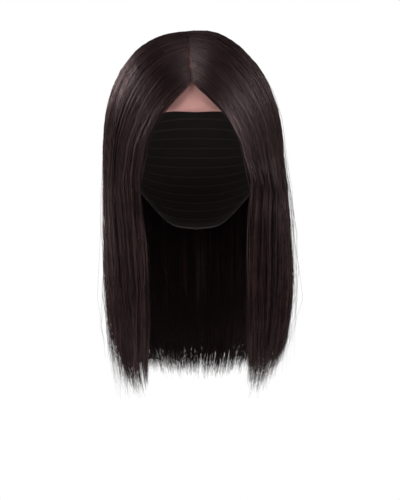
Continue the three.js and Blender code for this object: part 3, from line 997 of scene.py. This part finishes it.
def paint_cap(paint):
    """Dark elastic net with rows of weft sewn across it."""
    cap = bpy.context.scene.wig_cap
    place = paint.coordinates("UV")
    net = paint.net(place, cap.net_pitch, thread=0.35)
    down = paint.node("ShaderNodeSeparateXYZ", {0: place}).outputs[1]
    row = paint.math("ABSOLUTE", paint.math("SINE", paint.product(down, math.pi / cap.weft_pitch)))
    height = paint.math("MAXIMUM", paint.product(net, 0.4), paint.ease(row, 0.25, 0.35, 1.0, 0.0))
    paint.finish({
        "Base Color": paint.mix(height, darker(cap.net, 0.4), cap.net),
        "Normal": paint.bump(height, strength=0.8, distance=0.8 * MM),
        "Roughness": 0.8,
    })


def paint_floor(paint):
    """A pale matt floor with a faint grain."""
    pale = bpy.context.scene.wig_stage.floor_tone
    grain = paint.noise(paint.coordinates("Object"), scale=3.0, detail=2.0)
    grain = paint.ease(grain, 0.3, 0.7, 0.0, 0.2)
    paint.finish({"Base Color": paint.mix(grain, pale, darker(pale, 0.97)), "Roughness": 0.9})


# Pieces

# A mass keeps clear of its curtain's edges and roots, and starts later still beside the lace and along the
# front of the parting. It reaches out and in from its own depth in the hair, less so near its two ends.
MASS_LINES = 62
MASS_EDGE = 0.015
MASS_TOP = 0.01
MASS_LATE = ((0.12, 0.0, 0.25), (0.05, 0.35, 0.6))
MASS_LATE_SPAN = (0.0, 0.6)
MASS_DEPTH = 0.45
MASS_OUT = 0.3
MASS_IN = 0.28
MASS_ROOT = 0.35
MASS_SWELLS = (0.0, 0.25)
MASS_THINS = (0.35, 0.04)
MASS_THINNING = 0.85
MASS_WAVES = ((0.018, 23.0, 0.0), (0.01, 67.0, 1.0))
MASS_WAVES_FROM = 1.4

# The cap's grid, and the floor's sides
CAP_COLUMNS = 96
CAP_ROWS = 32
FLOOR_SIDES = 96


def mass_grid(side, columns, end):
    """Places over a curtain, which start late near the lace and end in a ragged edge."""
    across = np.linspace(MASS_EDGE, 1 - MASS_EDGE, columns)
    half = MASS_LINES // 2
    downs = np.concatenate([np.linspace(MASS_TOP, 1, half)[:-1], np.linspace(1, end, half + 1)])
    across, down = np.meshgrid(across, downs)
    if side != BACK:
        late = sum(share * (1 - ease(across, *span)) for share, *span in MASS_LATE)
        down = down + late * (1 - ease(down, *MASS_LATE_SPAN))
    return across, down + waves(across, MASS_WAVES) * ease(down, MASS_WAVES_FROM, end)


def hair_mass(name, node, side, columns, end, width):
    """The closed dark form under a curtain's loose strands, which stops short of their tips at end."""
    flow = Flow(side)
    across, down = mass_grid(side, columns, end)
    full = 1 - ease(down, *(end - before for before in MASS_THINS)) * MASS_THINNING
    full = full * blend(MASS_ROOT, 1.0, ease(down, *MASS_SWELLS))
    outer = flow.point(across, down, MASS_DEPTH + MASS_OUT * full)
    inner = flow.point(across, down, MASS_DEPTH - MASS_IN * full)
    points = np.concatenate([outer.reshape(-1, 3), inner.reshape(-1, 3)])
    faces = grid_faces(len(across), columns, 0)
    faces += grid_faces(len(across), columns, across.size, turned=True)
    faces += rim_faces(len(across), columns, across.size)
    arc = flow.shape.crown_height * math.pi / 2
    uv = np.stack([across * width, down * arc], axis=-1).reshape(-1, 2)
    obj = mesh_object(name, points, faces, np.concatenate([uv, uv]))
    turn_outwards(obj.data)
    dress(obj, painted("Dark Hair Mass", paint_mass), node)


def head_cover(shape):
    """Points and faces from the crown over the head to the cap's lower edge."""
    turns = np.linspace(0, 2 * np.pi, CAP_COLUMNS, endpoint=False)
    from_front = np.degrees(np.minimum(turns, 2 * np.pi - turns))
    rise = column(CAP_EDGE_ROWS, "rise")(from_front)
    level = vectors(np.sin(turns), -np.cos(turns), 0)
    up = np.broadcast_to(vectors(0, 0, 1), level.shape)
    dome_run = np.arccos(np.maximum(rise, 0)) * shape.crown_height
    drop_run = np.maximum(-rise, 0) * shape.nape_drop
    points = [on_head(shape, up[:1], 0.0)]
    for row in range(1, CAP_ROWS + 1):
        run = row / CAP_ROWS * (dome_run + drop_run)
        share = np.minimum(run, dome_run) / shape.crown_height / (np.pi / 2)
        direction = along_great_circle(up, level, share)
        points.append(on_head(shape, direction, 0.0, np.maximum(run - dome_run, 0)))
    faces = [(0, 1 + i, 1 + (i + 1) % CAP_COLUMNS) for i in range(CAP_COLUMNS)]
    for row in range(CAP_ROWS - 1):
        for i in range(CAP_COLUMNS):
            a, b = 1 + row * CAP_COLUMNS + i, 1 + row * CAP_COLUMNS + (i + 1) % CAP_COLUMNS
            faces.append((a, a + CAP_COLUMNS, b + CAP_COLUMNS, b))
    return np.concatenate(points), faces


def cut_at_seam(mesh, shape, keep_front):
    """Cuts a cover of the head behind the crown, turns it outwards and returns the area that is kept."""
    plane = shape.seam - shape.seam_gap if keep_front else shape.seam + shape.seam_gap
    middle = Vector((0, 0, -shape.crown_height))
    cut = bmesh.new()
    cut.from_mesh(mesh)
    bmesh.ops.bisect_plane(
        cut, geom=cut.verts[:] + cut.edges[:] + cut.faces[:], plane_co=(0, plane, 0), plane_no=(0, 1, 0),
        clear_outer=keep_front, clear_inner=not keep_front)
    bmesh.ops.recalc_face_normals(cut, faces=cut.faces)
    if sum((f.calc_center_median() - middle).dot(f.normal) for f in cut.faces) < 0:
        bmesh.ops.reverse_faces(cut, faces=cut.faces)
    area = sum(f.calc_area() for f in cut.faces)
    cut.to_mesh(mesh)
    cut.free()
    return area


def cap_shell(name, wall, keep_front, material, node):
    """The lace front or the stretch cap: a wall over the head, cut at the seam behind the crown."""
    shape = bpy.context.scene.wig_shape
    points, faces = head_cover(shape)
    rise = points[:, 2] + shape.crown_height
    across = np.arctan2(points[:, 0], np.hypot(points[:, 1], rise))
    uv = np.stack([across, np.arctan2(-points[:, 1], rise)], axis=-1) * shape.crown_height
    obj = mesh_object(name, points, faces, uv)
    flat_area = cut_at_seam(obj.data, shape, keep_front)
    solidify = obj.modifiers.new("Wall", "SOLIDIFY")
    solidify.thickness = wall
    solidify.offset = 1.0
    finished(obj)
    turn_outwards(obj.data)
    dress(obj, material, node)


class WIG_OT_lace(bpy.types.Operator):
    """Makes the sheer lace front that carries the hairline"""

    bl_idname = "wig.lace"
    bl_label = "Lace Front"

    def execute(self, context):
        wall = context.scene.wig_shape.lace_wall
        lace = painted("Sheer Lace", paint_lace)
        cap_shell("lace_sheer", wall, True, lace, "lace_front")
        return {"FINISHED"}


class WIG_OT_cap(bpy.types.Operator):
    """Makes the stretch cap behind the lace front"""

    bl_idname = "wig.cap"
    bl_label = "Stretch Cap"

    def execute(self, context):
        wall = context.scene.wig_shape.cap_wall
        net = painted("Stretch Net", paint_cap)
        cap_shell("stretch_net", wall, False, net, "stretch_cap")
        return {"FINISHED"}


class WIG_OT_masses(bpy.types.Operator):
    """Makes the dark form under each curtain's loose strands"""

    bl_idname = "wig.masses"
    bl_label = "Hair Masses"

    def execute(self, context):
        for row in table_rows(MASSES):
            hair_mass(**row)
        return {"FINISHED"}


class WIG_OT_strands(bpy.types.Operator):
    """Grows the loose strands of the three curtains"""

    bl_idname = "wig.strands"
    bl_label = "Strands"

    def execute(self, context):
        for row in table_rows(CURTAINS):
            grow(flow=Flow(row.pop("side")), **row)
        return {"FINISHED"}


class WIG_OT_hairline(bpy.types.Operator):
    """Grows the fine hair along the hairline, the loose hair and the hair that crosses the parting"""

    bl_idname = "wig.hairline"
    bl_label = "Hairline and Loose Hair"

    def execute(self, context):
        edge, *loose = table_rows(FINE_HAIR)
        for side, kinds in ((LEFT, [edge]), (RIGHT, [edge]), (LEFT, loose), (RIGHT, loose)):
            for row in kinds:
                grow_fine(side, row)
        return {"FINISHED"}


def area_light(target, name, place, size, power, colour):
    light = bpy.data.lights.new(name, "AREA")
    light.shape = "RECTANGLE"
    light.size, light.size_y = size
    light.energy = power
    light.color = colour
    obj = link(bpy.data.objects.new(name, light))
    obj.location = place
    obj.rotation_euler = (Vector(target) - Vector(place)).to_track_quat("-Z", "Y").to_euler()
    obj.visible_camera = False


def studio_world(stage):
    """A white surround that lights the wig only softly, as a lit wall far behind it would."""
    world = bpy.data.worlds.new("Studio")
    world.use_nodes = True
    tree = Tree(world.node_tree)
    white = (1, 1, 1, 1)
    soft = world.node_tree.nodes["Background"]
    tree.fill(soft, {"Color": white, "Strength": stage.surround})
    bright = tree.node("ShaderNodeBackground", {"Color": white, "Strength": 1.0}).outputs[0]
    seen = tree.node("ShaderNodeLightPath").outputs["Is Camera Ray"]
    both = tree.node("ShaderNodeMixShader", {0: seen, 1: soft.outputs[0], 2: bright}).outputs[0]
    tree.fill(world.node_tree.nodes["World Output"], {"Surface": both})
    return world


def camera_object(stage):
    camera = bpy.data.cameras.new("Camera")
    camera.sensor_width = 36
    camera.lens = camera.sensor_width * stage.camera_distance / stage.view_height
    eye = link(bpy.data.objects.new("Camera", camera))
    eye.location = (stage.view_across, -stage.camera_distance, stage.view_level)
    eye.rotation_euler = (math.pi / 2, 0, 0)
    return eye


class WIG_OT_stage(bpy.types.Operator):
    """Sets the camera, the lights, the pale floor and the white surround"""

    bl_idname = "wig.stage"
    bl_label = "Stage"

    def execute(self, context):
        stage = context.scene.wig_stage
        context.scene.camera = camera_object(stage)
        context.scene.view_settings.view_transform = "Standard"

        turns = np.linspace(0, 2 * np.pi, FLOOR_SIDES, endpoint=False)
        rim = vectors(np.cos(turns), np.sin(turns), 0) * stage.floor_spread
        floor = mesh_object("floor", rim + [0, 0, stage.floor_level], [range(len(turns))])
        floor.data.materials.append(painted("Pale Floor", paint_floor))

        for row in table_rows(LIGHTS):
            area_light((0.0, 0.0, stage.light_level), **row)
        context.scene.world = studio_world(stage)
        return {"FINISHED"}


class WIG_PT_panel(bpy.types.Panel):
    """The wig's sizes and the steps that make it"""

    bl_idname = "WIG_PT_panel"
    bl_label = "Bob Wig"
    bl_space_type = "VIEW_3D"
    bl_region_type = "UI"
    bl_category = "Bob Wig"

    def draw(self, context):
        for group in GROUPS:
            settings = getattr(context.scene, group)
            box = self.layout.box()
            for name in settings.__annotations__:
                box.prop(settings, name)
        for operator in OPERATORS:
            self.layout.operator(operator.bl_idname)


GROUPS = {"wig_shape": WigShape, "wig_hair": WigHair, "wig_cap": WigCap, "wig_stage": WigStage}
OPERATORS = (WIG_OT_stage, WIG_OT_lace, WIG_OT_cap, WIG_OT_masses, WIG_OT_strands, WIG_OT_hairline)


def register():
    for name, group in GROUPS.items():
        bpy.utils.register_class(group)
        setattr(bpy.types.Scene, name, bpy.props.PointerProperty(type=group))
    for kind in (*OPERATORS, WIG_PT_panel):
        bpy.utils.register_class(kind)


def unregister():
    for kind in reversed((*OPERATORS, WIG_PT_panel)):
        bpy.utils.unregister_class(kind)
    for name, group in GROUPS.items():
        delattr(bpy.types.Scene, name)
        bpy.utils.unregister_class(group)


def main():
    register()
    bpy.ops.wig.stage()
    bpy.ops.wig.lace()
    bpy.ops.wig.cap()
    bpy.ops.wig.masses()
    bpy.ops.wig.strands()
    bpy.ops.wig.hairline()


if __name__ == "__main__":
    main()
